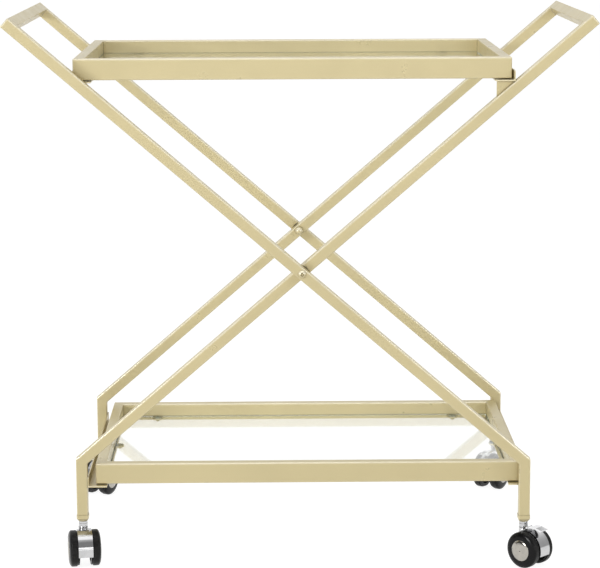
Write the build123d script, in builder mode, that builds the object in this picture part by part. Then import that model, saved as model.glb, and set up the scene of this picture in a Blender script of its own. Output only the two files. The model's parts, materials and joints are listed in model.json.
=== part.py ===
"""Serving cart: two crossed frames of square tube, two glass trays, four twin-wheel casters.

+X runs along the length, +Y away from the shopper's side, +Z up.
The origin is on the floor below the middle of the frames.
"""
import math
import os

from build123d import *

os.makedirs("parts", exist_ok=True)

# Tube and plate stock
tube_size = 17.0
rail_width = 16.0
rail_height = 32.0
wall = 1.2
inner_corner = 0.4
plate = 2.0
corner_ease = 0.8

# Crossed frames
frame_width = 466.0
pivot_gap = 1.5
handle_z = 836.0
bend_z = 163.5
leg_end_z = 78.5
leg_spread = 24.0

# Pivot screws
pivot_d = 8.0
pivot_hole_play = 0.4
pivot_head_d = 12.0
pivot_head_h = 4.2
pivot_head_edge = 0.6
pivot_socket = 5.0
washer_d = 20.0
nut_flats = 13.0
nut_hex_h = 6.5
nut_dome_d = 12.0
nut_height = 12.0
nut_bore_depth = 9.0

# Trays
tray_length = 656.0
top_rim_drop = 56.0
low_rim_drop = 5.4
top_tray_x = -13.0
low_left_gap = 10.5
tray_side_play = 2.8
tray_end_play = 1.0

# Angles below the trays
flange = 30.0
upright = 16.0
angle_root = 1.2
angle_edge = 0.8
low_right_set_in = 1.5
pad_t = 1.5
pad_d = 13.0
gusset_t = 3.0
gusset_reach = 27.4

# Tray screws
screw_d = 5.0
screw_hole_play = 0.5
screw_from_end = 40.0
screw_into_rail = 9.0
screw_head_d = 9.5
screw_head_h = 2.8
screw_socket = 3.0

# Glass and the tabs that carry it
glass_t = 5.0
glass_drop = 21.0
glass_gap = 1.0
glass_corner = 2.0
glass_edge = 0.6
tab_width = 18.0
tab_depth = 14.0
tab_from_end = 75.0
bumper_d = 12.0
bumper_t = 1.5
bumper_neck_d = 5.0
bumper_nub_d = 8.0
bumper_nub_h = 3.0
bumper_from_rail = 7.0

# Leg ferrules and caster stems
ferrule_size = 18.5
ferrule_band_h = 6.0
ferrule_taper_h = 4.0
ferrule_neck_d = 15.0
plug_play = 0.2
plug_length = 15.0
stem_d = 8.0
stem_in_ferrule = 20.0
collar_d = 14.0
collar_ring_h = 2.6
groove_h = 1.4
groove_depth = 0.9
collar_round = 0.5

# Casters
wheel_r = 28.0
wheel_width = 15.8
wheel_space = 17.4
tread_edge = 1.5
shoulder_rise = 10.5
shoulder_width = 5.0
trail = 13.0
run_play = 0.05
axle_d = 6.0
axle_head_d = 9.0
axle_head_h = 1.5
axle_head_gap = 0.3
hub_r = 8.0
hub_gap = 0.6
rim_band = 6.5
dish_depth = 4.0
hub_length = 12.0
hub_pocket_r = 5.5
cap_r = 16.0
cap_play = 0.2
cap_sink = 1.0
cap_edge = 0.3
cap_dome = 0.9
hood_over_wheel = 1.5
hood_shell = 2.0
hood_width = 22.4
hood_side_gap = 0.6
hood_inner_gap = 1.0
hood_low_angle = -15.0
hood_high_angle = 118.0
web_width = 13.0
boss_d = 15.0
boss_top_z = 58.5
boss_height = 19.0
swivel_gap = 0.6
pin_end_gap = 1.0

# Brake levers
lever_gap = 1.0
lever_t = 1.8
lever_width = 18.0
lever_high_angle = 86.0
lever_low_angle = 42.0
lever_lift = 22.0
lever_lip_r = 1.3
lever_neck_width = 8.0
hinge_angle = 94.0
hinge_r = 2.2
hinge_pin_d = 2.4
ear_gap = 0.3
ear_t = 2.0
ear_sink = 3.0

# Worked out from the sizes above
half_tube = tube_size / 2
half_rail = rail_width / 2
outer_corner = wall + inner_corner
overrun = 2 * rail_height
outer_y = frame_width / 2 - half_tube
inner_y = outer_y - tube_size - pivot_gap
outer_span = outer_y - half_tube
inner_span = inner_y + half_tube

# The trays' long sides stand over the middle of the inner frame's tubes.
tray_depth = 2 * inner_y
top_rim_z = handle_z - top_rim_drop
low_rim_z = bend_z - low_rim_drop
top_angle_z = top_rim_z - rail_height - pad_t - plate
low_angle_z = low_rim_z - rail_height - pad_t - plate
top_right_x = top_tray_x + tray_length / 2 + tray_side_play + plate
top_left_x = top_tray_x - tray_length / 2 - tray_end_play - plate

# The legs stand a little further apart than a tray is long. From a leg's bend each bar climbs
# just under the corner of the top right angle, which lies on it, and on up to the handle.
bend_x = (tray_length + leg_spread) / 2
climb_x = top_right_x + bend_x
climb_z = top_angle_z - bend_z
slope = math.atan2(climb_z, climb_x) - math.asin(half_tube / math.hypot(climb_x, climb_z))
handle_x = (handle_z - bend_z) / math.tan(slope) - bend_x
pivot_z = bend_z + bend_x * math.tan(slope)
low_left_x = -bend_x + half_tube
low_right_x = bend_x + half_tube - low_right_set_in
low_tray_x = low_left_x + plate + low_left_gap + tray_length / 2

screw_y = tray_depth / 2 - screw_from_end
rail_x = tray_length / 2 - half_rail
rail_y = tray_depth / 2 - half_rail

ferrule_low_z = leg_end_z - ferrule_band_h - ferrule_taper_h
boss_low_z = boss_top_z - boss_height
hood_r = wheel_r + hood_over_wheel
rim_r = hood_r - hood_shell - hood_inner_gap
rim_width = (hood_width - wheel_space) / 2 + hood_side_gap
hinge_arm = hood_r + hinge_r
tray_rims = {"top": (top_tray_x, top_rim_z), "bottom": (low_tray_x, low_rim_z)}
sides = {"front": -1, "rear": 1}
x_way = Vector(1, 0, 0)
y_way = Vector(0, 1, 0)
z_way = Vector(0, 0, 1)


def save(piece, name):
    """Label a finished piece and write its file."""
    piece.part.label = name
    export_step(piece.part, f"parts/{name}.step")


def mitre(corner, along, other):
    """Cutting plane of a mitred corner; the tube that runs along `along` is on its upper side."""
    return Plane(origin=corner, z_dir=along - other)


def eased(corner, along, other, width):
    """Small flat ground across the outer edge of a square corner of two tubes of this width."""
    inward = (along + other).normalized()
    return Plane(origin=corner + inward * (corner_ease - width / math.sqrt(2)), z_dir=inward)


def tube(start, end, wide, size, cuts):
    """Hollow tube between two corner points, `wide` being the way of its width, cut by planes."""
    axis = (end - start).normalized()
    with BuildPart() as piece:
        with BuildSketch(Plane(origin=start - axis * overrun, x_dir=wide, z_dir=axis)):
            RectangleRounded(size[0], size[1], outer_corner)
            RectangleRounded(
                size[0] - 2 * wall, size[1] - 2 * wall, inner_corner, mode=Mode.SUBTRACT
            )
        extrude(amount=(end - start).length + 2 * overrun)
        for cut in cuts:
            split(bisect_by=cut, keep=Keep.TOP)
    return piece.part


def turned(base, out, radius):
    """Sketch plane of a turned piece: x is its radius, y runs along its axis."""
    return Plane(origin=base, x_dir=radius, z_dir=radius.cross(out))


def dome(radius, base, rise):
    """Arc from the rim of a dome to its top on the axis, square to the axis there."""
    ball = (radius**2 + rise**2) / (2 * abs(rise))
    centre = base + rise - math.copysign(ball, rise)
    lean = math.asin(radius / ball) / 2
    middle = (ball * math.sin(lean), centre + math.copysign(ball * math.cos(lean), rise))
    return ThreePointArc((radius, base), middle, (0, base + rise))


# Crossed frames: each has two sloping bars, two legs and a handle across the top.
# The outer frame leans from its handle at -X to its legs at +X, the inner one the other way.
for frame, lean, frame_y in (("outer", 1, outer_y), ("inner", -1, inner_y)):
    down = Vector(lean * math.cos(slope), 0, -math.sin(slope))
    top = Vector(-lean * handle_x, 0, handle_z)
    bend = Vector(lean * bend_x, 0, bend_z)
    foot = Vector(lean * bend_x, 0, leg_end_z)

    for side, way in sides.items():
        across = y_way * (way * frame_y)
        inward = -y_way * way
        corner = top + down * half_tube + across
        knee = bend + across
        cuts = [mitre(corner, down, inward), eased(corner, down, inward, tube_size)]
        cuts += [mitre(knee, -down, -z_way)]
        with BuildPart() as bar:
            add(tube(corner, knee, y_way, (tube_size, tube_size), cuts))
            with BuildSketch(Plane(origin=(0, way * frame_y, pivot_z), z_dir=y_way)):
                Circle((pivot_d + pivot_hole_play) / 2)
            extrude(amount=tube_size, both=True, mode=Mode.SUBTRACT)
        save(bar, f"{frame}_bar_{side}")

        cuts = [mitre(knee, -z_way, -down), Plane(origin=foot + across, z_dir=z_way)]
        with BuildPart() as leg:
            add(tube(knee, foot + across, y_way, (tube_size, tube_size), cuts))
        save(leg, f"{frame}_leg_{side}")

    handle_axis = top + down * half_tube
    ends = [handle_axis - y_way * frame_y, handle_axis + y_way * frame_y]
    cuts = [mitre(ends[0], y_way, down), eased(ends[0], y_way, down, tube_size)]
    cuts += [mitre(ends[1], -y_way, down), eased(ends[1], -y_way, down, tube_size)]
    with BuildPart() as handle:
        add(tube(ends[0], ends[1], down, (tube_size, tube_size), cuts))
    save(handle, f"{frame}_handle")


# Pivot screws where the frames cross: domed socket screw, spacer washer, cap nut.
with BuildPart() as pivot_bolts:
    for way in sides.values():
        face = Vector(0, way * (outer_y + half_tube), pivot_z)
        shank = 2 * tube_size + pivot_gap + nut_bore_depth - pin_end_gap
        out = y_way * way
        with BuildSketch(turned(face, out, x_way)):
            with BuildLine():
                Polyline(
                    (0, pivot_head_h),
                    (0, -shank),
                    (pivot_d / 2, -shank),
                    (pivot_d / 2, 0),
                    (pivot_head_d / 2, 0),
                    (pivot_head_d / 2, pivot_head_edge),
                )
                dome(pivot_head_d / 2, pivot_head_edge, pivot_head_h - pivot_head_edge)
            make_face()
        revolve(axis=Axis(face, out))
        with BuildSketch(Plane(origin=face + out * pivot_head_h, z_dir=out)):
            RegularPolygon(pivot_socket / 2, 6, major_radius=False)
        extrude(amount=-pivot_head_h * 0.6, mode=Mode.SUBTRACT)
save(pivot_bolts, "pivot_bolts")

with BuildPart() as pivot_washers:
    for way in sides.values():
        face = Vector(0, way * (inner_y + half_tube), pivot_z)
        with BuildSketch(Plane(origin=face, z_dir=y_way * way)):
            Circle(washer_d / 2)
            Circle((pivot_d + pivot_hole_play) / 2, mode=Mode.SUBTRACT)
        extrude(amount=pivot_gap)
save(pivot_washers, "pivot_washers")

with BuildPart() as pivot_nuts:
    for way in sides.values():
        face = Vector(0, way * (inner_y - half_tube), pivot_z)
        inward = -y_way * way
        with BuildSketch(Plane(origin=face, z_dir=inward)):
            RegularPolygon(nut_flats / 2, 6, major_radius=False)
        extrude(amount=nut_hex_h)
        with BuildSketch(turned(face, inward, x_way)):
            with BuildLine():
                Polyline(
                    (0, nut_height),
                    (0, nut_hex_h / 2),
                    (nut_dome_d / 2, nut_hex_h / 2),
                    (nut_dome_d / 2, nut_hex_h),
                )
                dome(nut_dome_d / 2, nut_hex_h, nut_height - nut_hex_h)
            make_face()
        revolve(axis=Axis(face, inward))
        with BuildSketch(Plane(origin=face, z_dir=inward)):
            Circle(pivot_d / 2)
        extrude(amount=nut_bore_depth, mode=Mode.SUBTRACT)
save(pivot_nuts, "pivot_nuts")


# Angles below the trays, welded across between the bars or the legs.
# Each is drawn from the outer corner of its profile, with the flange running inward.
angles = {
    "top_left": (top_left_x, 1, top_angle_z, outer_span, top_tray_x - rail_x),
    "top_right": (top_right_x, -1, top_angle_z, inner_span, top_tray_x + rail_x),
    "bottom_left": (low_left_x, 1, low_angle_z, inner_span, low_tray_x - rail_x),
    "bottom_right": (low_right_x, -1, low_angle_z, outer_span, low_tray_x + rail_x),
}
for name, (edge_x, inward, base_z, span, screw_x) in angles.items():
    with BuildPart() as support:
        with BuildSketch(
            Plane(origin=(edge_x, 0, base_z), x_dir=x_way * inward, z_dir=-y_way * inward)
        ):
            with BuildLine():
                Polyline(
                    (0, 0), (flange, 0), (flange, plate), (plate, plate), (plate, upright), (0, upright),
                    close=True,
                )
            make_face()
            fillet(vertices().sort_by_distance((plate, plate))[0], angle_root)
            fillet(vertices().sort_by_distance((0, 0))[0], angle_edge)
        extrude(amount=span, both=True)
        for way in sides.values():
            with BuildSketch(Plane(origin=(screw_x, way * screw_y, base_z))):
                Circle((screw_d + screw_hole_play) / 2)
            extrude(amount=plate, mode=Mode.SUBTRACT)
    save(support, f"{name}_support")

with BuildPart() as support_gussets:
    for way in sides.values():
        with BuildSketch(Plane.XZ.offset(-way * inner_y)):
            with BuildLine():
                Polyline(
                    (top_right_x - gusset_reach, top_angle_z),
                    (top_right_x - gusset_reach, top_angle_z - gusset_reach * math.tan(slope)),
                    (top_right_x, top_angle_z),
                    close=True,
                )
            make_face()
        extrude(amount=gusset_t / 2, both=True)
save(support_gussets, "support_gussets")


# Trays: four rails of rectangular tube, mitred flat at the corners, with a drop-in glass.
for level, (tray_x, rim_z) in tray_rims.items():
    middle = Vector(tray_x, 0, rim_z - rail_height / 2)
    corners = {
        (end, way): middle + x_way * (end * rail_x) + y_way * (way * rail_y)
        for end in (-1, 1)
        for way in (-1, 1)
    }
    rails = {
        "front": ((-1, -1), (1, -1), y_way, y_way),
        "rear": ((-1, 1), (1, 1), y_way, -y_way),
        "left": ((-1, -1), (-1, 1), x_way, x_way),
        "right": ((1, -1), (1, 1), x_way, -x_way),
    }
    for name, (start_key, end_key, wide, inward) in rails.items():
        start = corners[start_key]
        end = corners[end_key]
        along = (end - start).normalized()
        cuts = [mitre(start, along, inward), eased(start, along, inward, rail_width)]
        cuts += [mitre(end, -along, inward), eased(end, -along, inward, rail_width)]
        with BuildPart() as rail:
            add(tube(start, end, wide, (rail_width, rail_height), cuts))
            if name in ("left", "right"):
                for way in sides.values():
                    with BuildSketch(Plane(origin=(start.X, way * screw_y, rim_z - rail_height))):
                        Circle(screw_d / 2)
                    extrude(amount=2 * wall, mode=Mode.SUBTRACT)
        save(rail, f"{level}_tray_{name}_rail")

    with BuildPart() as glass:
        with BuildSketch(Plane(origin=(tray_x, 0, rim_z - glass_drop - glass_t))):
            RectangleRounded(
                tray_length - 2 * (rail_width + glass_gap),
                tray_depth - 2 * (rail_width + glass_gap),
                glass_corner,
            )
        extrude(amount=glass_t)
        chamfer(faces().filter_by(Axis.Z).edges(), glass_edge)
    save(glass, f"{level}_glass")


def tab_planes():
    """Planes on the rails' inner faces where the tabs are: x along the rail, y out of it."""
    planes = []
    for tray_x, rim_z in tray_rims.values():
        tab_z = rim_z - glass_drop - glass_t - bumper_t - plate
        for end in (-1, 1):
            for way in (-1, 1):
                at = Vector(
                    tray_x + end * (tray_length / 2 - tab_from_end),
                    way * (tray_depth / 2 - rail_width),
                    tab_z,
                )
                planes.append(Plane(origin=at, x_dir=x_way * -way, z_dir=z_way))
            at = Vector(tray_x + end * (tray_length / 2 - rail_width), 0, tab_z)
            planes.append(Plane(origin=at, x_dir=y_way * end, z_dir=z_way))
    return planes


# Tabs welded to the rails, each with a clear push-in bumper that the glass lies on.
with BuildPart() as glass_tabs:
    for seat in tab_planes():
        with BuildSketch(seat):
            with BuildLine():
                Polyline(
                    (-tab_width / 2, tab_depth - tab_width / 3),
                    (-tab_width / 2, 0),
                    (tab_width / 2, 0),
                    (tab_width / 2, tab_depth - tab_width / 3),
                )
                ThreePointArc(
                    (tab_width / 2, tab_depth - tab_width / 3),
                    (0, tab_depth),
                    (-tab_width / 2, tab_depth - tab_width / 3),
                )
            make_face()
            with Locations((0, bumper_from_rail)):
                Circle(bumper_neck_d / 2, mode=Mode.SUBTRACT)
        extrude(amount=plate)
save(glass_tabs, "glass_tabs")

with BuildPart() as glass_bumpers:
    for seat in tab_planes():
        foot = seat.from_local_coords(Vector(0, bumper_from_rail, 0))
        with BuildSketch(turned(foot, z_way, x_way)):
            with BuildLine():
                Polyline(
                    (0, plate + bumper_t),
                    (0, -bumper_nub_h),
                    (bumper_neck_d / 2, -bumper_nub_h),
                    (bumper_nub_d / 2, 0),
                    (bumper_neck_d / 2, 0),
                    (bumper_neck_d / 2, plate),
                    (bumper_d / 2, plate),
                    (bumper_d / 2, plate + bumper_t),
                    close=True,
                )
            make_face()
        revolve(axis=Axis(foot, z_way))
save(glass_bumpers, "glass_bumpers")


# Screws up through the angles into the short rails, with a pad between angle and rail.
screw_spots = [
    Vector(screw_x, way * screw_y, base_z)
    for _, _, base_z, _, screw_x in angles.values()
    for way in sides.values()
]
with BuildPart() as tray_screws:
    for spot in screw_spots:
        reach = plate + pad_t + screw_into_rail
        with BuildSketch(turned(spot, z_way, x_way)):
            with BuildLine():
                Polyline(
                    (0, -screw_head_h),
                    (0, reach),
                    (screw_d / 2 - 0.5, reach),
                    (screw_d / 2, reach - 0.5),
                    (screw_d / 2, 0),
                    (screw_head_d / 2, 0),
                )
                dome(screw_head_d / 2, 0, -screw_head_h)
            make_face()
        revolve(axis=Axis(spot, z_way))
        with BuildSketch(Plane(origin=spot - z_way * screw_head_h)):
            RegularPolygon(screw_socket / 2, 6, major_radius=False)
        extrude(amount=screw_head_h * 0.6, mode=Mode.SUBTRACT)
save(tray_screws, "tray_screws")

with BuildPart() as tray_pads:
    for spot in screw_spots:
        with BuildSketch(Plane(origin=spot + z_way * plate)):
            Circle(pad_d / 2)
            Circle((screw_d + screw_hole_play) / 2, mode=Mode.SUBTRACT)
        extrude(amount=pad_t)
save(tray_pads, "tray_pads")


# Leg ferrules: a rounded square band drawn in to a round neck, plugged into the tube.
leg_ends = {
    "front_left": Vector(-bend_x, -inner_y, 0),
    "front_right": Vector(bend_x, -outer_y, 0),
    "rear_left": Vector(-bend_x, inner_y, 0),
    "rear_right": Vector(bend_x, outer_y, 0),
}
with BuildPart() as leg_ferrules:
    for leg_end in leg_ends.values():
        band_z = leg_end_z - ferrule_band_h
        plug = tube_size - 2 * wall - 2 * plug_play
        with BuildSketch(Plane(origin=leg_end + z_way * band_z)):
            RectangleRounded(ferrule_size, ferrule_size, outer_corner + 1)
        extrude(amount=ferrule_band_h)
        with BuildSketch(Plane(origin=leg_end + z_way * leg_end_z)):
            RectangleRounded(plug, plug, outer_corner)
        extrude(amount=plug_length)
        with BuildSketch(Plane(origin=leg_end + z_way * ferrule_low_z)):
            Circle(ferrule_neck_d / 2)
        with BuildSketch(Plane(origin=leg_end + z_way * band_z)):
            RectangleRounded(ferrule_size, ferrule_size, outer_corner + 1)
        loft()
        with BuildSketch(Plane(origin=leg_end + z_way * ferrule_low_z)):
            Circle(stem_d / 2)
        extrude(amount=stem_in_ferrule, mode=Mode.SUBTRACT)
save(leg_ferrules, "leg_ferrules")


# Caster stems: pressed into the ferrules, with a grooved collar above the swivel pin.
with BuildPart() as caster_stems:
    for leg_end in leg_ends.values():
        collar_low = boss_top_z + swivel_gap
        groove_z = ferrule_low_z - collar_ring_h
        pin_low = boss_low_z + hood_shell + pin_end_gap
        collar = collar_d / 2
        stem = stem_d / 2
        with BuildSketch(turned(leg_end, z_way, x_way)):
            with BuildLine():
                Polyline(
                    (0, pin_low),
                    (stem - collar_round, pin_low),
                    (stem, pin_low + collar_round),
                    (stem, collar_low),
                    (collar - collar_round, collar_low),
                    (collar, collar_low + collar_round),
                    (collar, groove_z - groove_h),
                    (collar - groove_depth, groove_z - groove_h + groove_depth / 4),
                    (collar - groove_depth, groove_z - groove_depth / 4),
                    (collar, groove_z),
                    (collar, ferrule_low_z - collar_round),
                    (collar - collar_round, ferrule_low_z),
                    (stem, ferrule_low_z),
                    (stem, ferrule_low_z + stem_in_ferrule - pin_end_gap),
                    (0, ferrule_low_z + stem_in_ferrule - pin_end_gap),
                    close=True,
                )
            make_face()
        revolve(axis=Axis(leg_end, z_way))
save(caster_stems, "caster_stems")


def caster(name, stem_at, turn, with_brake):
    """Twin-wheel caster below a stem; `turn` swings its trailing side from -Y toward +X."""
    swing = math.radians(turn)
    back = Vector(math.sin(swing), -math.cos(swing), 0)
    across = Vector(math.cos(swing), math.sin(swing), 0)
    side_view = Plane(origin=stem_at, x_dir=back, z_dir=-across)
    axle_at = stem_at + back * trail + z_way * wheel_r
    hinge_x = trail + hinge_arm * math.cos(math.radians(hinge_angle))
    hinge_y = wheel_r + hinge_arm * math.sin(math.radians(hinge_angle))
    sweep_angle = hood_high_angle - hood_low_angle

    # Hood: a curved shell over the trailing side on a narrow web, with the swivel boss.
    with BuildPart() as hood:
        with BuildSketch(side_view):
            with BuildLine():
                shell_out = CenterArc((trail, wheel_r), hood_r, hood_low_angle, sweep_angle)
                shell_in = CenterArc((trail, wheel_r), hood_r - hood_shell, hood_low_angle, sweep_angle)
                Line(shell_out @ 0, shell_in @ 0)
                Line(shell_out @ 1, shell_in @ 1)
            make_face()
        extrude(amount=hood_width / 2, both=True)
        with BuildSketch(side_view):
            with BuildLine():
                web_edge = CenterArc(
                    (trail, wheel_r), hood_r - hood_shell / 2, hood_low_angle, sweep_angle
                )
                Polyline(
                    web_edge @ 1,
                    (-boss_d / 4, boss_top_z - hood_shell),
                    (-boss_d / 4, boss_low_z + hood_shell),
                    (trail - hub_r, wheel_r),
                    (trail, wheel_r - hub_r),
                    web_edge @ 0,
                )
            make_face()
        extrude(amount=web_width / 2, both=True)
        with BuildSketch(side_view):
            with Locations((trail, wheel_r)):
                Circle(hub_r)
        extrude(amount=wheel_space / 2 - hub_gap, both=True)
        with BuildSketch(Plane(origin=stem_at + z_way * boss_low_z)):
            Circle(boss_d / 2)
        extrude(amount=boss_height)
        if with_brake:
            with BuildSketch(side_view):
                with Locations((hinge_x, hinge_y)):
                    Circle(hinge_r)
                with Locations((hinge_x, hinge_y - ear_sink / 2)):
                    Rectangle(2 * hinge_r, ear_sink)
            extrude(amount=lever_neck_width / 2 + ear_gap + ear_t, both=True)
            with BuildSketch(side_view):
                with Locations((hinge_x, hinge_y)):
                    Circle(hinge_r + ear_gap)
            extrude(amount=lever_neck_width / 2 + ear_gap, both=True, mode=Mode.SUBTRACT)
            with BuildSketch(side_view):
                with Locations((hinge_x, hinge_y)):
                    Circle(hinge_pin_d / 2 + run_play)
            extrude(amount=hood_width, both=True, mode=Mode.SUBTRACT)
        with BuildSketch(Plane(origin=stem_at + z_way * (boss_low_z + hood_shell))):
            Circle(stem_d / 2 + run_play)
        extrude(amount=boss_height, mode=Mode.SUBTRACT)
        with BuildSketch(side_view):
            with Locations((trail, wheel_r)):
                Circle(axle_d / 2)
        extrude(amount=hood_width, both=True, mode=Mode.SUBTRACT)
    save(hood, f"{name}_hood")

    # Axle with a riveted head in each hub.
    with BuildPart() as axle:
        head_at = wheel_space / 2 + hub_length + axle_head_gap
        with BuildSketch(turned(axle_at, across, back)):
            with BuildLine():
                Polyline(
                    (0, -head_at - axle_head_h),
                    (axle_head_d / 2, -head_at - axle_head_h),
                    (axle_head_d / 2, -head_at),
                    (axle_d / 2, -head_at),
                    (axle_d / 2, head_at),
                    (axle_head_d / 2, head_at),
                    (axle_head_d / 2, head_at + axle_head_h),
                    (0, head_at + axle_head_h),
                    close=True,
                )
            make_face()
        revolve(axis=Axis(axle_at, across))
    save(axle, f"{name}_axle")

    # Wheels, dished inside and domed outside, with a smaller rim that runs below the hood's edge,
    # each with a bright cap sunk into its hub.
    for letter, way in (("a", -1), ("b", 1)):
        out = across * way
        inner_face = axle_at + out * (wheel_space / 2)
        with BuildPart() as wheel:
            with BuildSketch(turned(inner_face, out, back)):
                with BuildLine():
                    Polyline(
                        (axle_d / 2 + run_play, 0),
                        (hub_r, 0),
                        (hub_r, dish_depth),
                        (wheel_r - rim_band, dish_depth),
                        (wheel_r - rim_band, 0),
                        (rim_r, 0),
                        (rim_r, rim_width),
                        (wheel_r, rim_width),
                        (wheel_r, wheel_width - shoulder_width),
                    )
                    EllipticalCenterArc(
                        (wheel_r - shoulder_rise, wheel_width - shoulder_width),
                        shoulder_rise,
                        shoulder_width,
                        start_angle=0,
                        arc_size=90,
                    )
                    Polyline(
                        (wheel_r - shoulder_rise, wheel_width),
                        (cap_r + cap_play, wheel_width),
                        (cap_r + cap_play, wheel_width - cap_sink),
                        (hub_pocket_r, wheel_width - cap_sink),
                        (hub_pocket_r, hub_length),
                        (axle_d / 2 + run_play, hub_length),
                        (axle_d / 2 + run_play, 0),
                    )
                make_face()
                fillet(vertices().sort_by_distance((wheel_r, rim_width))[0], tread_edge)
                fillet(vertices().sort_by_distance((rim_r, 0))[0], tread_edge / 2)
            revolve(axis=Axis(inner_face, out))
        save(wheel, f"{name}_wheel_{letter}")

        with BuildPart() as cap:
            with BuildSketch(turned(inner_face, out, back)):
                with BuildLine():
                    Polyline(
                        (0, wheel_width + cap_edge + cap_dome),
                        (0, wheel_width - cap_sink),
                        (cap_r, wheel_width - cap_sink),
                        (cap_r, wheel_width + cap_edge),
                    )
                    dome(cap_r, wheel_width + cap_edge, cap_dome)
                make_face()
            revolve(axis=Axis(inner_face, out))
        save(cap, f"{name}_cap_{letter}")

    # Brake lever: a curved tread plate over the hood, standing up from it on a small pin.
    if with_brake:
        lift = math.radians(lever_lift)
        lifted = Plane(
            origin=side_view.from_local_coords(Vector(hinge_x, hinge_y, 0)),
            x_dir=back * math.cos(lift) + z_way * math.sin(lift),
            z_dir=-across,
        )
        wheel_centre = (trail - hinge_x, wheel_r - hinge_y)
        plate_r = hood_r + lever_gap
        with BuildPart() as lever:
            plate_sweep = lever_high_angle - lever_low_angle
            with BuildSketch(lifted):
                with BuildLine():
                    plate_in = CenterArc(wheel_centre, plate_r, lever_low_angle, plate_sweep)
                    plate_out = CenterArc(wheel_centre, plate_r + lever_t, lever_low_angle, plate_sweep)
                    Line(plate_in @ 0, plate_out @ 0)
                    Line(plate_in @ 1, plate_out @ 1)
                make_face()
                with Locations(plate_out @ 0):
                    Circle(lever_lip_r)
            extrude(amount=lever_width / 2, both=True)
            neck_sweep = hinge_angle - lever_high_angle + 2
            with BuildSketch(lifted):
                with BuildLine():
                    neck_in = CenterArc(wheel_centre, plate_r, lever_high_angle - 2, neck_sweep)
                    neck_out = CenterArc(
                        wheel_centre, plate_r + lever_t, lever_high_angle - 2, neck_sweep
                    )
                    Line(neck_in @ 0, neck_out @ 0)
                    Line(neck_in @ 1, neck_out @ 1)
                make_face()
                Circle(hinge_r)
            extrude(amount=lever_neck_width / 2, both=True)
            with BuildSketch(lifted):
                Circle(hinge_pin_d / 2)
            extrude(amount=lever_neck_width / 2 + ear_gap + ear_t, both=True)
        save(lever, f"{name}_brake_lever")


# Casters as they stand: the two at +X have brakes.
caster("front_left", leg_ends["front_left"], 10, False)
caster("front_right", leg_ends["front_right"], 46, True)
caster("rear_left", leg_ends["rear_left"], -25, False)
caster("rear_right", leg_ends["rear_right"], -32, True)
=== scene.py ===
"""Serving cart of painted square tube with two glass trays and twin-wheel casters.

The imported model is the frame. Its nodes get their finishes here, section by section as the
cart is put together, and the welds, ribs and grips that the model leaves out are added.
Lengths are in metres.
"""
import json
import math

import bmesh
import bpy
from mathutils import Matrix, Vector


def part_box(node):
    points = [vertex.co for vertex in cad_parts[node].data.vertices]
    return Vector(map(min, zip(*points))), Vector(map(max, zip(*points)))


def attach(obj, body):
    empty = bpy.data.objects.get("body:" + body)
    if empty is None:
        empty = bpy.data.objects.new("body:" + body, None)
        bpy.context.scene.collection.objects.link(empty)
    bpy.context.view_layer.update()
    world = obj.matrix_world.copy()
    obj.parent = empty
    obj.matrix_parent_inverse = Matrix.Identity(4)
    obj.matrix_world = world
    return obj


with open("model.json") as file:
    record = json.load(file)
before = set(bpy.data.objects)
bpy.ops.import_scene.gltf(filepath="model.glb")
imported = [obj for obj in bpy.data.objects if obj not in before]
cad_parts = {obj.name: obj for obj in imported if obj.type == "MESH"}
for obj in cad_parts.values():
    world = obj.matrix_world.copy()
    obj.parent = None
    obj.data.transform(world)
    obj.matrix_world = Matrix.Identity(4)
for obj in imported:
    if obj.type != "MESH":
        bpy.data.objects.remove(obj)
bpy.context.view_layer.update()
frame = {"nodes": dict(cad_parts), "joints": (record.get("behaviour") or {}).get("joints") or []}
nodes = frame["nodes"]


# Crossed frames and handles: square steel tube, mitred, welded and ground flush, then sprayed
# in one satin champagne-gold paint. The paint has a faint orange peel and metal flakes; a painted
# highlight lightens its edges, and painted shade darkens its seams and inner corners.
gold_tint = (0.640, 0.548, 0.308, 1)
# The lighter tint below is a painted highlight for the tubes' upper edges.
gold_highlight_tint = (0.980, 0.900, 0.680, 1)
gold_roughness = 0.32
gold_metallic = 0.30
highlight_gloss = 0.12
cloud_scale = 8.0
edge_break_scale = 60.0
flake_scale = 1500.0
handled_scale = 30.0
peel_scale = 520.0
peel_depth = 0.000005
grit_scale = 2600.0
grit_share = 0.08
highlight_strip_width = 0.003
# Reach of the painted shade in seams and inner corners.
shade_reach = 0.0022


def finish_group(name, inputs, outputs):
    """Empty node group; gives it with its input and output ends."""
    group = bpy.data.node_groups.new(name, "ShaderNodeTree")
    for socket, kind, value in inputs:
        group.interface.new_socket(socket, in_out="INPUT", socket_type=kind).default_value = value
    for socket, kind in outputs:
        group.interface.new_socket(socket, in_out="OUTPUT", socket_type=kind)
    return group, group.nodes.new("NodeGroupInput"), group.nodes.new("NodeGroupOutput")


def node(tree, kind, links=(), **settings):
    """New node with its settings, and each (input, source socket or value) of links put in."""
    made = tree.nodes.new(kind)
    for setting, value in settings.items():
        setattr(made, setting, value)
    for socket, source in dict(links).items():
        if isinstance(source, bpy.types.NodeSocket):
            tree.links.new(source, made.inputs[socket])
        else:
            made.inputs[socket].default_value = source
    return made


def ranged(tree, value, low, high, to_low, to_high):
    """Socket of value stretched from low-high to to_low-to_high."""
    links = {
        "Value": value, "From Min": low, "From Max": high, "To Min": to_low, "To Max": to_high,
    }
    return node(tree, "ShaderNodeMapRange", links).outputs["Result"]


def maths(tree, operation, first, second=0.0):
    """Socket of a sum of one or two values."""
    return node(tree, "ShaderNodeMath", {0: first, 1: second}, operation=operation).outputs[0]


def blended(tree, factor, first, second):
    """Socket of two colours mixed by factor."""
    links = {"Factor": factor, 6: first, 7: second}
    return node(tree, "ShaderNodeMix", links, data_type="RGBA").outputs[2]


def shaded(tree, colour, shade):
    """Socket of a colour made lighter or darker."""
    links = {0: colour, "Scale": shade}
    return node(tree, "ShaderNodeVectorMath", links, operation="SCALE").outputs["Vector"]


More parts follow.
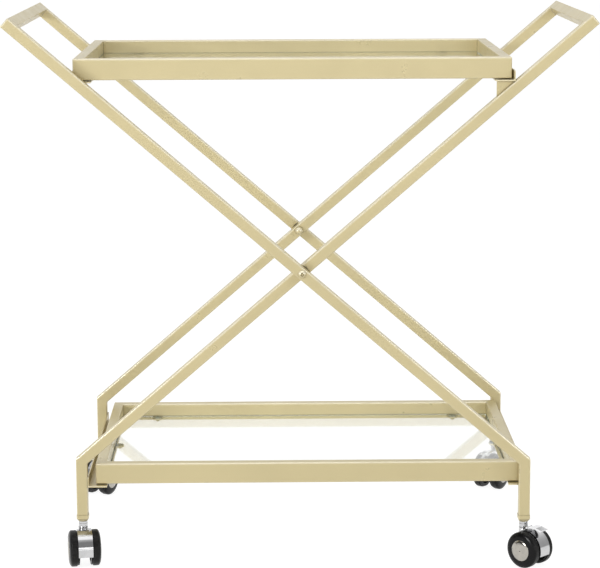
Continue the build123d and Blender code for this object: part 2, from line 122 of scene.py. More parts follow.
def object_place(tree):
    """Socket of the place on the piece."""
    return node(tree, "ShaderNodeTexCoord").outputs["Object"]


def noise(tree, place, scale, detail=2.0, rough=0.5):
    """Socket of a cloudy pattern from 0 to 1."""
    links = {"Vector": place, "Scale": scale, "Detail": detail, "Roughness": rough}
    return node(tree, "ShaderNodeTexNoise", links).outputs["Fac"]


finish_ends = [
    ("Color", "NodeSocketColor"),
    ("Roughness", "NodeSocketFloat"),
    ("Height", "NodeSocketFloat"),
]
paint, paint_in, paint_out = finish_group(
    "sprayed_paint",
    [
        ("Tint", "NodeSocketColor", gold_tint),
        ("Highlight Tint", "NodeSocketColor", gold_highlight_tint),
        ("Roughness", "NodeSocketFloat", gold_roughness),
        ("Mottle", "NodeSocketFloat", 0.06),
        ("Flake", "NodeSocketFloat", 0.03),
        ("Crevice Shade", "NodeSocketFloat", 0.55),
        ("Highlight Strip", "NodeSocketFloat", 1.0),
    ],
    finish_ends,
)
place = object_place(paint)
clouds = ranged(paint, noise(paint, place, cloud_scale, 3.0), 0.3, 0.7, -0.5, 0.5)
clouds = maths(paint, "MULTIPLY", clouds, paint_in.outputs["Mottle"])
flakes = node(paint, "ShaderNodeTexVoronoi", {"Vector": place, "Scale": flake_scale})
flakes = ranged(paint, flakes.outputs["Color"], 0.0, 1.0, -0.5, 0.5)
flakes = maths(paint, "MULTIPLY", flakes, paint_in.outputs["Flake"])
shade = maths(paint, "ADD", maths(paint, "ADD", clouds, flakes), 1.0)

# Painted highlight: a lighter tint on the tubes' rounded corners, most on the upper ones, and on
# a strip of the side faces below those; the paint is also glossier there.
facing = node(paint, "ShaderNodeNewGeometry").outputs["True Normal"]
facing = node(paint, "ShaderNodeSeparateXYZ", {"Vector": facing}).outputs
sideways = maths(paint, "ABSOLUTE", facing["Y"])
corner_highlight = maths(
    paint, "MULTIPLY", ranged(paint, sideways, 0.03, 0.12, 0.0, 1.0),
    ranged(paint, sideways, 0.985, 0.93, 0.0, 1.0),
)
corner_highlight = maths(paint, "MULTIPLY", corner_highlight, ranged(paint, facing["Z"], -0.05, 0.20, 0.15, 1.0))
edge_breaks = ranged(paint, noise(paint, place, edge_break_scale, 3.0), 0.35, 0.65, 0.85, 1.0)
rounded = node(paint, "ShaderNodeBevel", {"Radius": highlight_strip_width}, samples=8).outputs["Normal"]
rising = node(paint, "ShaderNodeSeparateXYZ", {"Vector": rounded}).outputs["Z"]
strip_highlight = maths(
    paint, "MULTIPLY", ranged(paint, rising, 0.03, 0.16, 0.0, 1.0),
    ranged(paint, sideways, 0.90, 0.97, 0.0, 1.0),
)
strip_highlight = maths(paint, "MULTIPLY", strip_highlight, paint_in.outputs["Highlight Strip"])
painted_highlight = maths(paint, "MULTIPLY", maths(paint, "MAXIMUM", corner_highlight, strip_highlight), edge_breaks)
tint = blended(paint, painted_highlight, paint_in.outputs["Tint"], paint_in.outputs["Highlight Tint"])

# Painted shade: seams and inner corners are darkened by an occlusion mask.
crevice_shade = node(paint, "ShaderNodeAmbientOcclusion", {"Distance": shade_reach}, samples=8).outputs["AO"]
crevice_shade = ranged(paint, crevice_shade, 0.5, 0.85, paint_in.outputs["Crevice Shade"], 0.0)
shade = maths(paint, "MULTIPLY", shade, maths(paint, "SUBTRACT", 1.0, crevice_shade))
paint.links.new(shaded(paint, tint, shade), paint_out.inputs["Color"])

handled = ranged(paint, noise(paint, place, handled_scale, 4.0, 0.6), 0.3, 0.7, -0.05, 0.06)
handled = maths(paint, "SUBTRACT", handled, maths(paint, "MULTIPLY", painted_highlight, highlight_gloss))
paint.links.new(
    maths(paint, "ADD", paint_in.outputs["Roughness"], handled), paint_out.inputs["Roughness"]
)
peel = noise(paint, place, peel_scale, 2.0)
grit = maths(paint, "MULTIPLY", noise(paint, place, grit_scale, 1.0), grit_share)
paint.links.new(maths(paint, "ADD", peel, grit), paint_out.inputs["Height"])


def new_finish(name, group, bump_depth, values=(), constants=()):
    """Material whose finish group, with its values, feeds colour, roughness and bump.

    The constants are set on the shader's own sockets.
    """
    material = bpy.data.materials.new(name)
    material.use_nodes = True
    tree = material.node_tree
    shader = tree.nodes["Principled BSDF"]
    made = node(tree, "ShaderNodeGroup", values, node_tree=group)
    for output, socket in (("Color", "Base Color"), ("Roughness", "Roughness")):
        tree.links.new(made.outputs[output], shader.inputs[socket])
    bump = node(tree, "ShaderNodeBump", {"Height": made.outputs["Height"], "Distance": bump_depth})
    tree.links.new(bump.outputs["Normal"], shader.inputs["Normal"])
    for socket, value in dict(constants).items():
        shader.inputs[socket].default_value = value
    return material


def put_on(material, *names):
    """Give these nodes the finish."""
    for name in names:
        for slot in nodes[name].material_slots:
            slot.material = material


gold_paint = new_finish("gold_paint", paint, peel_depth, constants={"Metallic": gold_metallic})

# The legs, bolts and ferrules have no painted highlight strip beside their corners.
plain_paint = new_finish(
    "gold_plain_paint", paint, peel_depth, {"Highlight Strip": 0.0}, {"Metallic": gold_metallic}
)
for frame_name in ("outer", "inner"):
    put_on(gold_paint, *(f"{frame_name}_{part}" for part in ("bar_front", "bar_rear", "handle")))
    put_on(plain_paint, *(f"{frame_name}_{part}" for part in ("leg_front", "leg_rear")))


# Pivot screws: domed socket screws and cap nuts through both frames, sprayed with them, and
# nylon washers between the tubes, tinted dark brown as painted shade for the gap they sit in.
# The washers' dark brown is painted shade for the gap between the tubes.
washer_shade_brown = (0.20, 0.165, 0.095, 1)
nylon_rubbed_tint = (0.30, 0.25, 0.155, 1)
rubbed_edge = 0.0006
rubbed_scale = 150.0
flow_scale = 40.0
dull_scale = 90.0
nylon_grain_depth = 0.00004
zinc_tint = (0.60, 0.60, 0.62, 1)
zinc_dull_tint = (0.42, 0.42, 0.43, 1)
haze_scale = 70.0
ripple_scale = 160.0
hairline_scale = 2200.0
pit_scale = 900.0
plating_depth = 0.00004


def edge_mask(tree, radius):
    """1 on outer edges and corners within radius of them, 0 on flats."""
    round_normal = node(tree, "ShaderNodeBevel", {"Radius": radius}, samples=4).outputs["Normal"]
    flat_normal = node(tree, "ShaderNodeNewGeometry").outputs["Normal"]
    square = node(
        tree, "ShaderNodeVectorMath", {0: round_normal, 1: flat_normal}, operation="DOT_PRODUCT"
    ).outputs["Value"]
    return ranged(tree, square, 0.995, 0.88, 0.0, 1.0)


moulded, moulded_in, moulded_out = finish_group(
    "moulded_plastic",
    [
        ("Tint", "NodeSocketColor", washer_shade_brown),
        ("Rubbed Tint", "NodeSocketColor", nylon_rubbed_tint),
        ("Roughness", "NodeSocketFloat", 0.5),
        ("Grain", "NodeSocketFloat", 1400.0),
    ],
    finish_ends,
)
place = object_place(moulded)
rubbed = edge_mask(moulded, rubbed_edge)
breaks = ranged(moulded, noise(moulded, place, rubbed_scale, 3.0), 0.4, 0.7, 0.0, 0.8)
rubbed = maths(moulded, "MULTIPLY", rubbed, breaks)
tint = blended(moulded, rubbed, moulded_in.outputs["Tint"], moulded_in.outputs["Rubbed Tint"])
flow = ranged(moulded, noise(moulded, place, flow_scale, 3.0), 0.3, 0.7, 0.85, 1.15)
moulded.links.new(shaded(moulded, tint, flow), moulded_out.inputs["Color"])
dull = ranged(moulded, noise(moulded, place, dull_scale, 4.0), 0.3, 0.7, -0.07, 0.07)
moulded.links.new(
    maths(moulded, "ADD", moulded_in.outputs["Roughness"], dull), moulded_out.inputs["Roughness"]
)
moulded.links.new(
    noise(moulded, place, moulded_in.outputs["Grain"], 3.0), moulded_out.inputs["Height"]
)

plated, plated_in, plated_out = finish_group(
    "plated_metal",
    [
        ("Tint", "NodeSocketColor", zinc_tint),
        ("Dull Tint", "NodeSocketColor", zinc_dull_tint),
        ("Roughness", "NodeSocketFloat", 0.3),
        ("Haze", "NodeSocketFloat", 0.10),
        ("Line Scale", "NodeSocketVector", (1.0, 1.0, 0.06)),
    ],
    finish_ends,
)
place = object_place(plated)
haze = ranged(plated, noise(plated, place, haze_scale, 4.0, 0.6), 0.45, 0.75, 0.0, 1.0)
lines_place = node(
    plated, "ShaderNodeMapping", {"Vector": place, "Scale": plated_in.outputs["Line Scale"]}
).outputs["Vector"]
lines = noise(plated, lines_place, hairline_scale, 2.0)
hairlines = ranged(plated, lines, 0.58, 0.66, 0.0, 1.0)
pits = node(plated, "ShaderNodeTexVoronoi", {"Vector": place, "Scale": pit_scale})
pits = pits.outputs["Distance"]
pits = ranged(plated, pits, 0.0, 0.12, 1.0, 0.0)
wear = maths(plated, "MAXIMUM", maths(plated, "MULTIPLY", haze, 0.5), pits)
plated.links.new(
    blended(plated, wear, plated_in.outputs["Tint"], plated_in.outputs["Dull Tint"]),
    plated_out.inputs["Color"],
)
dulling = maths(plated, "ADD", maths(plated, "MULTIPLY", hairlines, 0.4), haze)
dulling = maths(plated, "MULTIPLY", dulling, plated_in.outputs["Haze"])
plated.links.new(
    maths(plated, "ADD", plated_in.outputs["Roughness"], dulling), plated_out.inputs["Roughness"]
)
ripple = maths(plated, "MULTIPLY", noise(plated, place, ripple_scale, 1.0), 0.6)
plated.links.new(
    maths(plated, "SUBTRACT", maths(plated, "ADD", ripple, maths(plated, "MULTIPLY", lines, 0.2)),
          maths(plated, "MULTIPLY", pits, 0.3)),
    plated_out.inputs["Height"],
)

washer_nylon = new_finish("washer_nylon", moulded, nylon_grain_depth)
bolt_steel = new_finish("bolt_steel", plated, plating_depth, constants={"Metallic": 1.0})
put_on(plain_paint, "pivot_bolts", "pivot_nuts")
put_on(washer_nylon, "pivot_washers")


# Angles below the trays, with two gussets under the top right one: folded steel, welded between
# the bars or the legs by short runs of rippled weld, and sprayed with the frames.
bead_size = 0.0026
bead_start = 0.30
bead_end = 0.25
bead_crest = 0.55
bead_valley = 0.46
ripple_pitch = 1.1 * bead_size
tube_width = 0.017
gusset_half = 0.0015
gusset_weld = (0.0265, 0.003)
weld_inset = 0.001
left_weld_reach = 0.021
right_weld_reach = 0.015


def weld_bead(mesh, start, end):
    """Add a run of weld between two points: a closed round bead that swells at each ripple."""
    start = Vector(start)
    run = Vector(end) - start
    ripples = 2 * max(2, round(run.length / ripple_pitch))
    verts = bmesh.ops.create_circle(
        mesh, cap_ends=True, radius=bead_start * bead_size, segments=10
    )["verts"]
    turn = run.to_track_quat("Z", "Y").to_matrix()
    bmesh.ops.rotate(mesh, cent=(0, 0, 0), matrix=turn, verts=verts)
    bmesh.ops.translate(mesh, vec=start, verts=verts)
    face = verts[0].link_faces[0]
    swells = [bead_crest if step % 2 else bead_valley for step in range(1, ripples)]
    sizes = [bead_start, *swells, bead_end]
    for step in range(1, ripples + 1):
        grown = bmesh.ops.extrude_face_region(mesh, geom=[face])["geom"]
        if step > 1:
            bmesh.ops.delete(mesh, geom=[face], context="FACES_ONLY")
        verts = [part for part in grown if isinstance(part, bmesh.types.BMVert)]
        face = next(part for part in grown if isinstance(part, bmesh.types.BMFace))
        bmesh.ops.translate(mesh, vec=run / ripples, verts=verts)
        middle = start + run * (step / ripples)
        grow = sizes[step] / sizes[step - 1]
        bmesh.ops.scale(
            mesh, vec=(grow, grow, grow), space=Matrix.Translation(-middle), verts=verts
        )


def finished_piece(mesh, name, material, body, smooth=True):
    """Turn a bmesh into a piece that rides on a body and takes its finish from a slot."""
    bmesh.ops.recalc_face_normals(mesh, faces=mesh.faces)
    for face in mesh.faces:
        face.smooth = smooth
    data = bpy.data.meshes.new(name)
    mesh.to_mesh(data)
    mesh.free()
    data.materials.append(material)
    piece = bpy.data.objects.new(name, data)
    bpy.context.scene.collection.objects.link(piece)
    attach(piece, body)


angles = [f"{level}_{end}_support" for level in ("top", "bottom") for end in ("left", "right")]
put_on(gold_paint, *angles, "support_gussets")

welds = bmesh.new()
for name in angles:
    low, high = (Vector(corner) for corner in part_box(name))
    left = name.split("_")[1] == "left"
    outer_x = low.x if left else high.x
    inward = 1 if left else -1
    weld_low = low.z + weld_inset
    weld_high = high.z - weld_inset
    for way in (-1, 1):
        end_y = way * high.y
        leg_y = end_y - way * tube_width
        if name == "top_right_support":
            weld_bead(welds, (outer_x, end_y, low.z), (outer_x, leg_y, low.z))
            far_x, near_x = (outer_x - reach for reach in gusset_weld)
            for face_y in (-gusset_half, gusset_half):
                gusset_y = end_y - way * tube_width / 2 + face_y
                weld_bead(welds, (far_x, gusset_y, low.z), (near_x, gusset_y, low.z))
        elif name == "bottom_left_support":
            weld_bead(welds, (outer_x, leg_y, weld_low), (outer_x, leg_y, weld_high))
            weld_bead(welds, (outer_x, end_y - way * weld_inset, low.z), (outer_x, leg_y, low.z))
        else:
            start_x = outer_x + inward * weld_inset
            end_x = outer_x + inward * (left_weld_reach if left else right_weld_reach)
            weld_bead(welds, (start_x, end_y, low.z), (end_x, end_y, low.z))
            weld_bead(welds, (outer_x, end_y, weld_low), (outer_x, end_y, weld_high))
finished_piece(welds, "angle_welds", gold_paint, "cart")


# Tray rails: 16 by 32 mm steel tube on edge, mitred flat at the corners, with the joints
# ground flush, and sprayed with the frames.
rails = [
    f"{level}_tray_{side}_rail"
    for level in ("top", "bottom")
    for side in ("front", "rear", "left", "right")
]
put_on(gold_paint, *rails)


# Glass panes: 5 mm clear float glass with ground and polished edges that look green, dropped
# onto clear vinyl bumpers pushed into steel tabs, which are welded below to the rails.
pane_tint = (0.975, 0.990, 0.970, 1)
pane_edge_tint = (0.52, 0.74, 0.60, 1)
pane_shadow_tint = (0.90, 0.93, 0.90, 1)
pane_smear_scale = 9.0
pane_smear_turn = 0.5
pane_wave_scale = 3.0
pane_wave_depth = 0.00003
pane_grinding_scale = 1800.0
vinyl_tint = (0.80, 0.84, 0.78, 1)
vinyl_rubbed_tint = (0.9, 0.92, 0.88, 1)
vinyl_grain_depth = 0.00003

float_glass, float_in, float_out = finish_group(
    "float_glass",
    [
        ("Tint", "NodeSocketColor", pane_tint),
        ("Edge Tint", "NodeSocketColor", pane_edge_tint),
        ("Smear", "NodeSocketFloat", 0.05),
        ("Edge Roughness", "NodeSocketFloat", 0.22),
    ],
    finish_ends,
)
place = object_place(float_glass)
facing = node(float_glass, "ShaderNodeNewGeometry").outputs["True Normal"]
facing = node(float_glass, "ShaderNodeSeparateXYZ", {"Vector": facing}).outputs["Z"]
edge = ranged(float_glass, maths(float_glass, "ABSOLUTE", facing), 0.85, 0.95, 1.0, 0.0)
float_glass.links.new(
    blended(float_glass, edge, float_in.outputs["Tint"], float_in.outputs["Edge Tint"]),
    float_out.inputs["Color"],
)
wipes = {"Vector": place, "Rotation": (0, 0, pane_smear_turn), "Scale": (1, 5, 1)}
wipes = node(float_glass, "ShaderNodeMapping", wipes).outputs["Vector"]
smears = noise(float_glass, wipes, pane_smear_scale, 5.0, 0.6)
smears = ranged(float_glass, smears, 0.52, 0.78, 0.0, 1.0)
smears = maths(float_glass, "MULTIPLY", smears, float_in.outputs["Smear"])
ground = maths(float_glass, "MULTIPLY", edge, float_in.outputs["Edge Roughness"])
float_glass.links.new(maths(float_glass, "ADD", smears, ground), float_out.inputs["Roughness"])
grinding = maths(float_glass, "MULTIPLY", noise(float_glass, place, pane_grinding_scale, 1.0), edge)
float_glass.links.new(
    maths(float_glass, "ADD", noise(float_glass, place, pane_wave_scale, 1.0), grinding),
    float_out.inputs["Height"],
)

pane_glass = new_finish(
    "pane_glass", float_glass, pane_wave_depth, constants={"Transmission Weight": 1.0, "IOR": 1.5}
)
tree = pane_glass.node_tree
clear = tree.nodes["Principled BSDF"].outputs[0]
through = node(tree, "ShaderNodeBsdfTransparent", {"Color": pane_shadow_tint}).outputs[0]
in_shadow = node(tree, "ShaderNodeLightPath").outputs["Is Shadow Ray"]
shown = node(tree, "ShaderNodeMixShader", {0: in_shadow, 1: clear, 2: through}).outputs[0]
tree.links.new(shown, tree.nodes["Material Output"].inputs["Surface"])
put_on(pane_glass, "top_glass", "bottom_glass")

clear_vinyl = new_finish(
    "clear_vinyl", moulded, vinyl_grain_depth,
    {"Tint": vinyl_tint, "Rubbed Tint": vinyl_rubbed_tint, "Roughness": 0.24, "Grain": 500.0},
    {"Transmission Weight": 0.7, "IOR": 1.46},
)
put_on(clear_vinyl, "glass_bumpers")
put_on(gold_paint, "glass_tabs")

tab_from_end = 0.075
tab_half = 0.009
tab_thickness = 0.002
bumper_thickness = 0.0015
welds = bmesh.new()
for level, pane in (("top", "top_glass"), ("bottom", "bottom_glass")):
    tab_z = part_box(pane)[0][2] - bumper_thickness - tab_thickness
    inner_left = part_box(f"{level}_tray_left_rail")[1][0]
    inner_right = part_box(f"{level}_tray_right_rail")[0][0]
    inner_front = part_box(f"{level}_tray_front_rail")[1][1]
    inner_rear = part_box(f"{level}_tray_rear_rail")[0][1]
    tray_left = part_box(f"{level}_tray_left_rail")[0][0]
    tray_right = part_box(f"{level}_tray_right_rail")[1][0]
    for middle_x in (tray_left + tab_from_end, tray_right - tab_from_end):
        start_x, end_x = middle_x - tab_half, middle_x + tab_half
        for side_y in (inner_front, inner_rear):
            weld_bead(welds, (start_x, side_y, tab_z), (end_x, side_y, tab_z))
    for end_x in (inner_left, inner_right):
        weld_bead(welds, (end_x, -tab_half, tab_z), (end_x, tab_half, tab_z))
finished_piece(welds, "tab_welds", gold_paint, "cart")


# Tray screws and pads: zinc-plated socket button heads from below, with black rubber pads
# squeezed between angle and rail.
rubber_tint = (0.030, 0.029, 0.028, 1)
rubber_rubbed_tint = (0.06, 0.058, 0.055, 1)
rubber_grain_depth = 0.00006

pad_rubber = new_finish(
    "pad_rubber", moulded, rubber_grain_depth,
    {"Tint": rubber_tint, "Rubbed Tint": rubber_rubbed_tint, "Roughness": 0.75, "Grain": 800.0},
)
put_on(pad_rubber, "tray_pads")
put_on(bolt_steel, "tray_screws")


# Leg ferrules and caster stems: cast ferrules plugged into the legs and sprayed with them, and
# polished chrome stems with a grooved collar pressed up into them.
chrome_tint = (0.57, 0.57, 0.575, 1)
chrome_dull_tint = (0.44, 0.44, 0.44, 1)
chrome_depth = 0.00002

chrome = new_finish(
    "chrome", plated, chrome_depth,
    {"Tint": chrome_tint, "Dull Tint": chrome_dull_tint, "Roughness": 0.06, "Haze": 0.06},
    {"Metallic": 1.0},
)
put_on(plain_paint, "leg_ferrules")
put_on(chrome, "caster_stems")


# Casters: a stamped and chromed hood on each stem, a riveted steel axle, two gloss black nylon
# wheels with nickel caps pressed into their hubs, and at the handle end a chromed brake lever.
wheel_tint = (0.005, 0.005, 0.0051, 1)
scuff_tint = (0.018, 0.0175, 0.017, 1)
nickel_tint = (0.43, 0.408, 0.365, 1)
nickel_dull_tint = (0.37, 0.352, 0.316, 1)
wheel_radius = 0.028
wheel_inner_face = 0.0087
wheel_rib_low = 0.0080
wheel_rib_high = 0.0214
wheel_dish = 0.004
wheel_rib_drop = 0.0007
wheel_ribs = 8
rib_width = 0.0013
rib_draft = 0.75
rib_edge = 0.0002
tread_edge = 0.0016
tread_full = 0.0003
scuff_scale = 260.0
nylon_cloud_scale = 60.0
nylon_grain_scale = 900.0
nylon_depth = 0.00002
mould_ring_scale = 9000.0
cap_radius = 0.016
cap_rim = 0.0012
cap_bulge = 0.0013
cap_turned_down = 0.5
cap_cloud_scale = 120.0
cap_line_scale = 14000.0
cap_line_depth = 0.002

turned_ends = [
    ("Centre", "NodeSocketVector", (0.0, 0.0, 0.0)),
    ("Axle", "NodeSocketVector", (1.0, 0.0, 0.0)),
]


def turned_place(tree, group_in, place):
    """Socket of the distance out from a turned piece's axle."""
    from_centre = node(
        tree, "ShaderNodeVectorMath", {0: place, 1: group_in.outputs["Centre"]},
        operation="SUBTRACT",
    ).outputs["Vector"]
    along = node(
        tree, "ShaderNodeVectorMath", {0: from_centre, 1: group_in.outputs["Axle"]},
        operation="DOT_PRODUCT",
    ).outputs["Value"]
    far = node(tree, "ShaderNodeVectorMath", {0: from_centre}, operation="LENGTH").outputs["Value"]
    square = maths(tree, "SUBTRACT", maths(tree, "POWER", far, 2.0), maths(tree, "POWER", along, 2.0))
    # Rounding can leave the square just below 0 on the axle.
    return maths(tree, "SQRT", maths(tree, "MAXIMUM", square, 0.0))


def rounded_bar(mesh, size, rounding, place, draft=1.0):
    """Add a bar with rounded edges, its lower side narrowed by draft, and put it in place."""
    earlier = set(mesh.verts)
    bar = bmesh.ops.create_cube(mesh, size=1.0)["verts"]
    bmesh.ops.scale(mesh, vec=size, verts=bar)
    lower = [vert for vert in bar if vert.co.z < 0]
    bmesh.ops.scale(mesh, vec=(1, draft, 1), verts=lower)
    edges = {edge for vert in bar for edge in vert.link_edges}
    bmesh.ops.bevel(
        mesh, geom=list(edges), offset=rounding, affect="EDGES", segments=2, profile=0.5,
        material=-1,
    )
    bar = [vert for vert in mesh.verts if vert not in earlier]
    bmesh.ops.transform(mesh, matrix=place, verts=bar)


rolled, rolled_in, rolled_out = finish_group(
    "rolled_nylon",
    [
        ("Tint", "NodeSocketColor", wheel_tint),
        ("Scuff Tint", "NodeSocketColor", scuff_tint),
        ("Roughness", "NodeSocketFloat", 0.22),
        *turned_ends,
    ],
    finish_ends,
)
place = object_place(rolled)
out = turned_place(rolled, rolled_in, place)
tread = ranged(rolled, out, wheel_radius - tread_edge, wheel_radius - tread_full, 0.0, 1.0)
scuffs = ranged(rolled, noise(rolled, place, scuff_scale, 5.0, 0.65), 0.38, 0.66, 0.15, 1.0)
scuffs = maths(rolled, "MULTIPLY", scuffs, tread)
rolled.links.new(
    blended(rolled, scuffs, rolled_in.outputs["Tint"], rolled_in.outputs["Scuff Tint"]),
    rolled_out.inputs["Color"],
)
cloudy = ranged(rolled, noise(rolled, place, nylon_cloud_scale, 3.0), 0.3, 0.7, -0.04, 0.05)
worn = maths(rolled, "ADD", maths(rolled, "MULTIPLY", tread, 0.16), cloudy)
rolled.links.new(
    maths(rolled, "ADD", rolled_in.outputs["Roughness"], worn), rolled_out.inputs["Roughness"]
)
rings = maths(rolled, "SINE", maths(rolled, "MULTIPLY", out, mould_ring_scale))
rings = maths(rolled, "MULTIPLY", rings, 0.05)
grain = maths(rolled, "MULTIPLY", noise(rolled, place, nylon_grain_scale, 3.0), 0.5)
rolled.links.new(maths(rolled, "ADD", rings, grain), rolled_out.inputs["Height"])

pressed, pressed_in, pressed_out = finish_group(
    "pressed_cap",
    [
        ("Tint", "NodeSocketColor", nickel_tint),
        ("Dull Tint", "NodeSocketColor", nickel_dull_tint),
        ("Roughness", "NodeSocketFloat", 0.10),
        *turned_ends,
    ],
    finish_ends,
)
place = object_place(pressed)
out = turned_place(pressed, pressed_in, place)
clouding = ranged(pressed, noise(pressed, place, cap_cloud_scale, 4.0, 0.6), 0.4, 0.75, 0.0, 0.7)
rim = ranged(pressed, out, cap_radius - cap_rim, cap_radius - cap_rim / 3, 0.0, 1.0)
pressed.links.new(
    blended(pressed, maths(pressed, "MAXIMUM", clouding, maths(pressed, "MULTIPLY", rim, 0.5)),
            pressed_in.outputs["Tint"], pressed_in.outputs["Dull Tint"]),
    pressed_out.inputs["Color"],
)
dulling = maths(pressed, "MULTIPLY", clouding, 0.06)
pressed.links.new(
    maths(pressed, "ADD", pressed_in.outputs["Roughness"], dulling), pressed_out.inputs["Roughness"]
)

# The cap bulges, and turns down at its rim.
reach = maths(pressed, "DIVIDE", out, cap_radius)
spun = maths(pressed, "SINE", maths(pressed, "MULTIPLY", out, cap_line_scale))
spun = maths(pressed, "MULTIPLY", spun, reach)
turned_down = maths(pressed, "MULTIPLY", maths(pressed, "POWER", reach, 16.0), cap_turned_down)
bulge = maths(pressed, "ADD", maths(pressed, "POWER", reach, 2.0), turned_down)
pressed.links.new(
    maths(pressed, "SUBTRACT", maths(pressed, "MULTIPLY", spun, cap_line_depth), bulge),
    pressed_out.inputs["Height"],
)

joints = {joint["name"]: joint for joint in frame["joints"]}
casters = ("front_left", "front_right", "rear_left", "rear_right")
for caster in casters:
    put_on(chrome, f"{caster}_hood")
    put_on(bolt_steel, f"{caster}_axle")
    for letter, way in (("a", -1), ("b", 1)):
        joint = joints[f"{caster}_wheel_{letter}_spin"]
        centre = Vector(joint["pos_m"])
        axle = Vector(joint["axis"])
        turned = {"Centre": centre, "Axle": axle}
        wheel_nylon = new_finish(
            f"{caster}_nylon_{letter}", rolled, nylon_depth, turned, {"Specular IOR Level": 0.17}
        )
        put_on(wheel_nylon, f"{caster}_wheel_{letter}")
        cap_nickel = new_finish(
            f"{caster}_nickel_{letter}", pressed, cap_bulge, turned, {"Metallic": 1.0}
        )
        put_on(cap_nickel, f"{caster}_cap_{letter}")

        ribs = bmesh.new()
        outward = axle * way
        stand = Matrix.Translation(centre) @ outward.to_track_quat("Z", "Y").to_matrix().to_4x4()
        rib_length = wheel_rib_high - wheel_rib_low
        rib_height = wheel_dish - wheel_rib_drop
        rib_middle = Vector((
            wheel_rib_low + rib_length / 2, 0, wheel_inner_face + wheel_rib_drop + rib_height / 2
        ))
        for spoke in range(wheel_ribs):
            turn = Matrix.Rotation(math.tau * spoke / wheel_ribs, 4, "Z")
            rounded_bar(
                ribs, (rib_length, rib_width, rib_height), rib_edge,
                stand @ turn @ Matrix.Translation(rib_middle), rib_draft,
            )
        finished_piece(
            ribs, f"{caster}_ribs_{letter}", wheel_nylon, f"{caster}_wheel_{letter}_body",
            smooth=False,
        )

# At rest the lever is lifted; its wheel centre is given along and square to the lever.
lever_lift = math.radians(22)
wheel_from_hinge = (0.00221, -0.03162)
lever_outer_radius = 0.0323
grip_angles = (46, 50, 54, 58)
grip_length = 0.014
grip_width = 0.0011
grip_proud = 0.0005
grip_edge = 0.00045
for caster in ("front_right", "rear_right"):
    joint = joints[f"{caster}_brake"]
    hinge = Vector(joint["pos_m"])
    across = Vector(joint["axis"])
    trailing = Vector((across.y, -across.x, 0))
    up = Vector((0, 0, 1))
    along = trailing * math.cos(lever_lift) + up * math.sin(lever_lift)
    risen = up * math.cos(lever_lift) - trailing * math.sin(lever_lift)
    centre = hinge + along * wheel_from_hinge[0] + risen * wheel_from_hinge[1]
    grips = bmesh.new()
    for angle in grip_angles:
        angle = math.radians(angle)
        outward = along * math.cos(angle) + risen * math.sin(angle)
        turn = Matrix((across.cross(outward), across, outward)).transposed().to_4x4()
        rounded_bar(
            grips, (grip_width, grip_length, 2 * grip_proud), grip_edge,
            Matrix.Translation(centre + outward * lever_outer_radius) @ turn,
        )
    finished_piece(grips, f"{caster}_lever_grips", chrome, f"{caster}_lever_body")


# Studio: pale floor that keeps a soft shadow, white all round, soft lamps at both sides, in
# front and overhead, and a darker patch high in front for the bright metal to reflect.
focal_px = 2200.0
picture_px = 600.0
sensor_mm = 36.0
camera_place = (-0.040062, -3.493635, 1.030959)
camera_turn = -0.644
camera_tilt = 79.768
camera_roll = -0.225
camera_reach = 200
camera_data = bpy.data.cameras.new("camera")
camera_data.sensor_fit = "HORIZONTAL"
camera_data.sensor_width = sensor_mm
camera_data.lens = focal_px / picture_px * sensor_mm
camera_data.clip_end = camera_reach
camera = bpy.data.objects.new("camera", camera_data)
camera.location = camera_place
turn = Matrix.Rotation(math.radians(camera_turn), 3, "Z")
tilt = Matrix.Rotation(math.radians(camera_tilt), 3, "X")
roll = Matrix.Rotation(math.radians(camera_roll), 3, "Z")
camera.rotation_euler = (turn @ tilt @ roll).to_euler()
bpy.context.scene.collection.objects.link(camera)
bpy.context.scene.camera = camera
bpy.context.scene.view_settings.view_transform = "Standard"

floor_size = 40.0
floor_glow = 0.90
floor_seen_tint = (0.30, 0.30, 0.30, 1)
floor_tint = (0.62, 0.61, 0.59, 1)
room_light = 0.42

# What metal mirrors of the room, by direction: white behind and low down, and in front a
# darker zone, with its own level far to the left, far to the right and overhead.
front_edge = (0.15, 0.50)
side_edge = (0.60, 0.92)
low_edge = (0.20, -0.02)
low_fade = 0.08
left_edge = (-0.94, -0.80)
right_edge = (0.70, 0.95)
overhead_edge = (0.74, 0.97)
dark_zone = 0.33
left_zone = 0.06
right_zone = 0.50
overhead_zone = 0.95


def seen_directly(tree):
    """1 for camera, glossy and transmission rays, 0 for the rest."""
    path = node(tree, "ShaderNodeLightPath").outputs
    seen = maths(tree, "MAXIMUM", path["Is Camera Ray"], path["Is Glossy Ray"])
    return maths(tree, "MAXIMUM", seen, path["Is Transmission Ray"])


floor_mesh = bmesh.new()
bmesh.ops.create_grid(floor_mesh, x_segments=1, y_segments=1, size=floor_size)
floor_data = bpy.data.meshes.new("floor")
floor_mesh.to_mesh(floor_data)
floor_mesh.free()
floor = bpy.data.objects.new("floor", floor_data)
bpy.context.scene.collection.objects.link(floor)
floor_paint = bpy.data.materials.new("floor_paint")
floor_paint.use_nodes = True
tree = floor_paint.node_tree
tree.nodes.remove(tree.nodes["Principled BSDF"])
glow = node(tree, "ShaderNodeEmission", {"Strength": floor_glow}).outputs[0]
skin = node(tree, "ShaderNodeBsdfDiffuse", {"Color": floor_seen_tint}).outputs[0]
plain = node(tree, "ShaderNodeBsdfDiffuse", {"Color": floor_tint}).outputs[0]
seen = node(tree, "ShaderNodeAddShader", {0: glow, 1: skin}).outputs[0]
both = node(tree, "ShaderNodeMixShader", {0: seen_directly(tree), 1: plain, 2: seen}).outputs[0]
tree.links.new(both, tree.nodes["Material Output"].inputs["Surface"])
floor_data.materials.append(floor_paint)

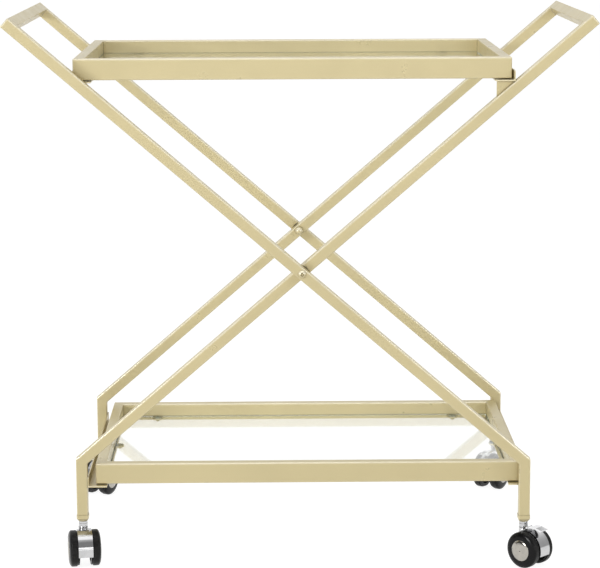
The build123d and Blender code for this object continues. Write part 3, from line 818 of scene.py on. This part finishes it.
world = bpy.data.worlds.new("room")
bpy.context.scene.world = world
world.use_nodes = True
tree = world.node_tree
way = node(tree, "ShaderNodeTexCoord").outputs["Generated"]
way = node(tree, "ShaderNodeSeparateXYZ", {0: way}).outputs
in_front = ranged(tree, way["Y"], *front_edge, 1.0, 0.0)
shade_low = ranged(tree, maths(tree, "ABSOLUTE", way["X"]), *side_edge, *low_edge)
is_high = ranged(tree, maths(tree, "SUBTRACT", way["Z"], shade_low), 0.0, low_fade, 0.0, 1.0)
left_side = ranged(tree, way["X"], *left_edge, left_zone, dark_zone)
right_side = ranged(tree, way["X"], *right_edge, 0.0, right_zone - dark_zone)
both_sides = maths(tree, "ADD", left_side, right_side)
darkest = ranged(tree, way["Z"], *overhead_edge, both_sides, overhead_zone)
mirrored = ranged(tree, maths(tree, "MULTIPLY", in_front, is_high), 0.0, 1.0, 1.0, darkest)
is_mirrored = node(tree, "ShaderNodeLightPath").outputs["Is Glossy Ray"]
shown_level = node(tree, "ShaderNodeMix", {0: is_mirrored, 2: 1.0, 3: mirrored}).outputs[0]
level = node(
    tree, "ShaderNodeMix", {0: seen_directly(tree), 2: room_light, 3: shown_level}
).outputs[0]
tree.links.new(level, tree.nodes["Background"].inputs["Strength"])
tree.nodes["Background"].inputs["Color"].default_value = (1, 1, 1, 1)


lamp_aim = Vector((0, 0, 0.45))


def soft_lamp(name, place, size, light):
    """Rectangular softbox that gives a white card at lamp_aim the brightness light."""
    data = bpy.data.lights.new(name, "AREA")
    data.shape = "RECTANGLE"
    data.size, data.size_y = size
    away = Vector(place) - lamp_aim
    data.energy = light * math.pi**2 * away.length_squared
    lamp = bpy.data.objects.new(name, data)
    lamp.location = place
    lamp.rotation_euler = away.to_track_quat("Z", "Y").to_euler()
    bpy.context.scene.collection.objects.link(lamp)


soft_lamp("left_box", place=(-3.3, -2.8, 1.5), size=(1.1, 1.1), light=0.40)
soft_lamp("right_box", place=(3.3, -2.9, 1.6), size=(1.3, 1.3), light=0.17)
soft_lamp("front_box", place=(0.0, -4.9, 1.25), size=(3.6, 0.6), light=0.04)
soft_lamp("front_strip", place=(0.3, -5.0, 0.38), size=(4.2, 0.36), light=0.02)
soft_lamp("top_box", place=(0.0, -0.7, 3.3), size=(5.4, 1.8), light=0.22)
